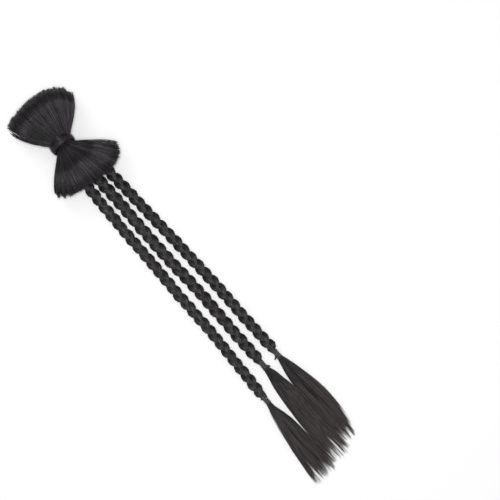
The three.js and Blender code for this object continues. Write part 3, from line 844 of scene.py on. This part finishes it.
def band_tree():
    """Winds a round elastic in a close, uneven spiral along +X, and adds its cut end as a short stub."""
    tree = bpy.data.node_groups.new("wind_elastic", "GeometryNodeTree")
    tree.interface.new_socket("Base", in_out="INPUT", socket_type="NodeSocketGeometry")
    for kind, names in BAND_INPUTS.items():
        for name in names:
            tree.interface.new_socket(name, in_out="INPUT", socket_type=kind)
    tree.interface.new_socket("Band", in_out="OUTPUT", socket_type="NodeSocketGeometry")
    given = tree.nodes.new("NodeGroupInput").outputs
    section = {"Resolution": ELASTIC_CORNERS, "Radius": given["Elastic"]}
    ring = put(tree, "GeometryNodeCurvePrimitiveCircle", section).outputs[0]

    # The turns
    coil = {"Resolution": TURN_POINTS, "Rotations": given["Turns"], "Start Radius": given["Radius"],
            "End Radius": given["Radius"], "Height": given["Length"]}
    spiral = put(tree, "GeometryNodeCurveSpiral", coil).outputs[0]
    along_braid = {"Geometry": spiral, "Translation": given["Place"], "Rotation": (0, math.pi / 2, 0)}
    laid = put(tree, "GeometryNodeTransform", along_braid).outputs[0]
    noise = put(tree, "ShaderNodeTexNoise", {"Scale": SLACK_WAVES, "Detail": 1.0}).outputs["Color"]
    slack = scaled(tree, vectors(tree, "SUBTRACT", noise, SLACK_CENTRE), given["Slack"])
    uneven = put(tree, "GeometryNodeSetPosition", {"Geometry": laid, "Offset": slack}).outputs[0]
    sweep = {"Curve": uneven, "Profile Curve": ring, "Fill Caps": True}
    winding = put(tree, "GeometryNodeCurveToMesh", sweep).outputs[0]

    # The cut end, marked so that it takes its own finish
    start = vectors(tree, "ADD", given["Place"], given["Stub From"])
    finish = vectors(tree, "ADD", given["Place"], given["Stub To"])
    line = put(tree, "GeometryNodeCurvePrimitiveLine", {"Start": start, "End": finish}).outputs[0]
    fine = put(tree, "GeometryNodeResampleCurve", {"Curve": line, "Count": STUB_POINTS}).outputs[0]
    share = put(tree, "GeometryNodeSplineParameter").outputs["Factor"]
    shrink = maths(tree, "SUBTRACT", 1 + STUB_TIP, maths(tree, "POWER", share, STUB_POWER))
    rounding = maths(tree, "MULTIPLY", maths(tree, "SQRT", shrink), STUB_SIZE)
    sweep = {"Curve": fine, "Profile Curve": ring, "Scale": rounding, "Fill Caps": True}
    stub = put(tree, "GeometryNodeCurveToMesh", sweep).outputs[0]
    mark = {"Geometry": stub, "Name": "cut_end", "Value": True}
    marked = put(tree, "GeometryNodeStoreNamedAttribute", mark, data_type="BOOLEAN", domain="FACE").outputs[0]

    both = put(tree, "GeometryNodeJoinGeometry", {0: winding})
    tree.links.new(marked, both.inputs[0])
    smooth = put(tree, "GeometryNodeSetShadeSmooth", {0: both.outputs[0]}).outputs[0]
    whole = put(tree, "GeometryNodeRealizeInstances", {0: smooth}).outputs[0]
    grey = put(tree, "GeometryNodeSetMaterial", {"Geometry": whole, "Material": given["Material"]}).outputs[0]
    found = {"Name": "cut_end"}
    is_stub = put(tree, "GeometryNodeInputNamedAttribute", found, data_type="BOOLEAN").outputs[0]
    darker = {"Geometry": grey, "Selection": is_stub, "Material": given["Stub Material"]}
    put(tree, "NodeGroupOutput", {"Band": put(tree, "GeometryNodeSetMaterial", darker).outputs[0]})
    return tree


elastic = elastic_rubber("grey_elastic", dark=(0.036, 0.0352, 0.0356), light=(0.094, 0.092, 0.093))
# The stub is drawn in a much darker finish than the band
darker_stub_finish = elastic_rubber("darker_stub", dark=(0.006, 0.0055, 0.0058), light=(0.014, 0.013, 0.0135))
wind_elastic = band_tree()
for name, braid in BRAIDS.items():
    band_from = braid["band_from"]
    stub_from, stub_to = STUBS[name]
    base = bpy.data.meshes.new(f"{name}_band_base")
    band = grown(f"{name}_band_elastic", base, wind_elastic, {
        "Turns": BAND_TURNS,
        "Length": BAND_LENGTH,
        "Radius": BAND_RADIUS,
        "Elastic": ELASTIC_RADIUS,
        "Slack": BAND_SLACK,
        "Place": (band_from, float(route_across[name](band_from)), BAND_HEIGHT),
        "Stub From": stub_from,
        "Stub To": stub_to,
        "Material": elastic,
        "Stub Material": darker_stub_finish,
    })
    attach(band, "root")
    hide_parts(f"{name}_band")


# The tassels
# The loose ends of the braids past their bands: straight hair, left unplaited, that fans out flat on the
# surface, parts into locks and ends raggedly. Each one hangs on the end of its braid.

# Half the width of its neck in the band, and where the neck lies past the band, then its clearance from the
# surface, how round its section is, and its hairs
TASSEL_NECK = 0.0016
TASSEL_NECK_PAST = (-0.004, -0.0005)
TASSEL_CLEARANCE = 0.0002
TASSEL_ROUNDNESS = 0.9
TASSEL_HAIRS = 800

# Distance past the band, lower and upper edge across, thickness
TASSEL_COLUMNS = ("past", "low", "high", "thick")
TASSELS = {
    "upper": [
        (0.004, 0.0214, 0.0284, 0.0056), (0.013, 0.0193, 0.0312, 0.0062), (0.025, 0.0177, 0.0340, 0.0062),
        (0.040, 0.0177, 0.0371, 0.0058), (0.058, 0.0182, 0.0386, 0.0050), (0.076, 0.0190, 0.0381, 0.0040),
        (0.090, 0.0205, 0.0374, 0.0030), (0.1040, 0.0218, 0.0366, 0.0020)],
    "middle": [
        (0.004, 0.0050, 0.0112, 0.0056), (0.013, 0.0028, 0.0136, 0.0062), (0.025, 0.0008, 0.0165, 0.0062),
        (0.040, -0.0007, 0.0180, 0.0058), (0.058, -0.0017, 0.0186, 0.0050), (0.080, -0.0021, 0.0194, 0.0040),
        (0.098, -0.0022, 0.0209, 0.0030), (0.1120, -0.0022, 0.0218, 0.0020)],
    "lower": [
        (0.004, -0.0147, -0.0094, 0.0056), (0.013, -0.0169, -0.0068, 0.0062),
        (0.025, -0.0195, -0.0042, 0.0062), (0.036, -0.0219, -0.0031, 0.0058),
        (0.050, -0.0240, -0.0024, 0.0050), (0.064, -0.0256, -0.0014, 0.0040),
        (0.075, -0.0268, 0.0000, 0.0030), (0.0900, -0.0276, 0.0010, 0.0020)],
}

# Where a tassel parts into two: share across, past the band from and to, and how wide it opens, then how far
# across that pushes hair, and half the share that is left clear
PARTINGS = {
    "upper": (0.5, 0.08, 0.10, 0.0),
    "middle": (0.557, 0.080, 0.100, 0.0020),
    "lower": (0.22, 0.060, 0.082, 0.0020),
}
PARTING_REACH = 0.12
PARTING_HALF = 0.004

# Painted shade in the seam between two locks: share across from and to, past the band from and to, and how
# dark it is painted, then how far it reaches across, and how it fades at its two ends
SEAM_SHADES = {
    "upper": (0.46, 0.40, 0.006, 0.055, 0.8),
    "middle": (0.30, 0.36, 0.030, 0.060, 0.25),
    "lower": (0.44, 0.62, 0.024, 0.072, 0.9),
}
SEAM_REACH = 0.03
SEAM_FADES_BEYOND = 0.006
SEAM_FULL_WITHIN = 0.004

# The share across, from the +Y edge, where loose hairs fringe a tassel, and where past the band they spread
FRINGES = {"upper": (0.0, 0.14), "middle": (0.0, 0.5), "lower": (0.5, 1.0)}
FRINGE_SPREAD = 0.08
FRINGE_PAST = (0.03, 0.10)

# How far the locks at a tassel's +Y edge end short
SHORT_EDGES = {"upper": 0.36, "middle": 0.05, "lower": 0.05}


def tassel_sheet(name, spread):
    columns, steps = 61, 41
    band_from = BRAIDS[name]["band_from"]
    band_across = float(route_across[name](band_from))
    neck = (band_across - TASSEL_NECK, band_across + TASSEL_NECK, 2 * TASSEL_NECK)
    rows = [(past, *neck) for past in TASSEL_NECK_PAST] + TASSELS[name]
    past = np.linspace(rows[0][0], rows[-1][0], steps)
    low, high, thick = (smooth_column(rows, TASSEL_COLUMNS, key)(past) for key in TASSEL_COLUMNS[1:])
    share = np.linspace(0, 1, columns)[:, None]
    part, part_from, part_to, part_width = PARTINGS[name]
    aside = np.sign(share - part) * np.exp(-np.abs(share - part) / PARTING_REACH)
    opened = aside * part_width / 2 * smooth_step(past, part_from, part_to)
    wide = (high - low) * (1 + spread * smooth_step(past, *FRINGE_PAST))
    points = np.empty((columns, steps, 3))
    points[..., 0] = band_from + BAND_LENGTH + past
    points[..., 1] = (low + high) / 2 + wide * (share - 0.5) + opened
    points[..., 2] = np.where(past < 0, BAND_HEIGHT, thick / 2 + TASSEL_CLEARANCE)
    half = thick / 2 * np.sqrt(1 - TASSEL_ROUNDNESS * (2 * share - 1) ** 2)
    # Painted shade along the seam between two locks
    seam_near, seam_far, seam_from, seam_to, painted_seam_shade = SEAM_SHADES[name]
    seam = seam_near + (seam_far - seam_near) * (past - seam_from) / (seam_to - seam_from)
    seam_shows = along_part(
        past, seam_from - SEAM_FADES_BEYOND, seam_from + SEAM_FULL_WITHIN,
        seam_to - SEAM_FULL_WITHIN, seam_to + SEAM_FADES_BEYOND)
    shade = -painted_seam_shade * np.exp(-((share - seam) / SEAM_REACH) ** 2) * seam_shows
    return hair_sheet(f"{name}_tassel_sheet", points[::-1], half[::-1], shade[::-1])


# The same hair as the bow's, drawn paler and warmer: painted light, where the spread-out ends catch more
# light
tassel_hair = synthetic_hair(
    "tassel_hair", dark=(0.0080, 0.0066, 0.0068), light=(0.0810, 0.0662, 0.0667), rough=0.44)
for number, name in enumerate(BRAIDS):
    tassel_seed = 500 + 40 * number
    part = 1 - PARTINGS[name][0]
    hanks = []
    # Each bundle is darker along its edges and at its roots as painted shade, and paler towards its ends as
    # painted light, as are the fringe's ends
    for side, (near, far) in enumerate([(0.0, part - PARTING_HALF), (part + PARTING_HALF, 1.0)]):
        hanks.append(combed(
            f"{name}_bundle_{side}", tassel_sheet(name, 0.0), tassel_hair,
            hairs=int(TASSEL_HAIRS * (far - near)), points=10, thickness=0.00022, tip=0.2, locks=60.0,
            gather=0.45, ridge=0.0006, unruly=0.0007, wander=0.015, frizz=0.0014, frizz_size=0.03,
            ragged_lock=0.12, ragged_hair=0.14, ragged_edge=SHORT_EDGES[name], pale_ends=0.8, dark_edges=0.45,
            dark_roots=0.35, mottle=2.0, across_from=near, across_to=far, seed=tassel_seed + 13 * side))
    near, far = FRINGES[name]
    hanks.append(combed(
        f"{name}_fringe", tassel_sheet(name, FRINGE_SPREAD), tassel_hair, hairs=70, points=10,
        thickness=0.0002, tip=0.15, locks=40.0, wander=0.05, frizz=0.005, frizz_size=0.03, ragged_hair=0.55,
        ragged_edge=0.4, pale_ends=1.2, across_from=near, across_to=far, seed=tassel_seed + 20))
    tassel = joined(f"{name}_tassel_hair", hanks)
    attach(tassel, "root")
    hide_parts(f"{name}_tassel")

    # The braid's middle line along its route, up to the start of its band
    band_from = BRAIDS[name]["band_from"]
    stations = [row[0] for row in ROUTE if row[0] < band_from - NARROWING] + [band_from]
    heights = [float(route_height(x)) for x in stations[:-1]] + [BAND_HEIGHT]
    middle_line = [(x, float(route_across[name](x)), z) for x, z in zip(stations, heights)]


# The floor, light and camera
# A plain white table top in a pale studio, brighter above than at the sides. One broad lamp hangs overhead, a
# much weaker one stands to the side, and the camera looks straight down through a long lens.

FLOOR_HALF = 3.0
FLOOR_WHITE = (0.92, 0.92, 0.92, 1)


def white_floor():
    material, tree, shader = new_finish("white_floor")
    fill(tree, shader, {"Base Color": FLOOR_WHITE, "Roughness": 0.9, "Specular IOR Level": 0.1})
    return material


floor_mesh = bpy.data.meshes.new("floor")
floor_corners = [(x * FLOOR_HALF, y * FLOOR_HALF, 0) for x, y in [(-1, -1), (1, -1), (1, 1), (-1, 1)]]
floor_mesh.from_pydata(floor_corners, [], [(0, 1, 2, 3)])
floor_mesh.materials.append(white_floor())
floor = bpy.data.objects.new("floor", floor_mesh)
bpy.context.scene.collection.objects.link(floor)

world = bpy.data.worlds.new("soft_studio")
world.use_nodes = True
sky = world.node_tree
ahead = put(sky, "ShaderNodeTexCoord").outputs["Generated"]
upward = put(sky, "ShaderNodeSeparateXYZ", {0: ahead}).outputs["Z"]
glow = between(sky, upward, first=0.08, last=0.48)
fill(sky, sky.nodes["Background"], {"Color": (1, 1, 1, 1), "Strength": glow})
bpy.context.scene.world = world


def soft_light(name, place, aim, size, power):
    lamp = bpy.data.lights.new(name, "AREA")
    lamp.shape = "SQUARE"
    lamp.size = size
    lamp.energy = power
    light = bpy.data.objects.new(name, lamp)
    light.location = place
    light.rotation_euler = (Vector(aim) - Vector(place)).to_track_quat("-Z", "Y").to_euler()
    bpy.context.scene.collection.objects.link(light)


soft_light("overhead", place=(0.15, 0.05, 2.4), aim=(0.15, 0.05, 0.0), size=0.6, power=42.0)
soft_light("side", place=(-1.1, 0.05, 0.8), aim=(0.0, 0.0, 0.0), size=0.6, power=2.6)

PHOTO_PIXELS = 500
METRES_PER_PIXEL = 0.00094439
SLANT = math.radians(49.5)
VIEW_CENTRE = (0.1945, 0.0692)
CAMERA_HEIGHT = 2.0
OBJECT_LEVEL = 0.012
SENSOR = 36.0
lens = bpy.data.cameras.new("straight_down")
lens.sensor_width = SENSOR
lens.lens = SENSOR * (CAMERA_HEIGHT - OBJECT_LEVEL) / (PHOTO_PIXELS * METRES_PER_PIXEL)
camera = bpy.data.objects.new("straight_down", lens)
camera.location = (*VIEW_CENTRE, CAMERA_HEIGHT)
camera.rotation_euler = (0, 0, SLANT)
bpy.context.scene.collection.objects.link(camera)
bpy.context.scene.camera = camera
bpy.context.scene.view_settings.view_transform = "Standard"
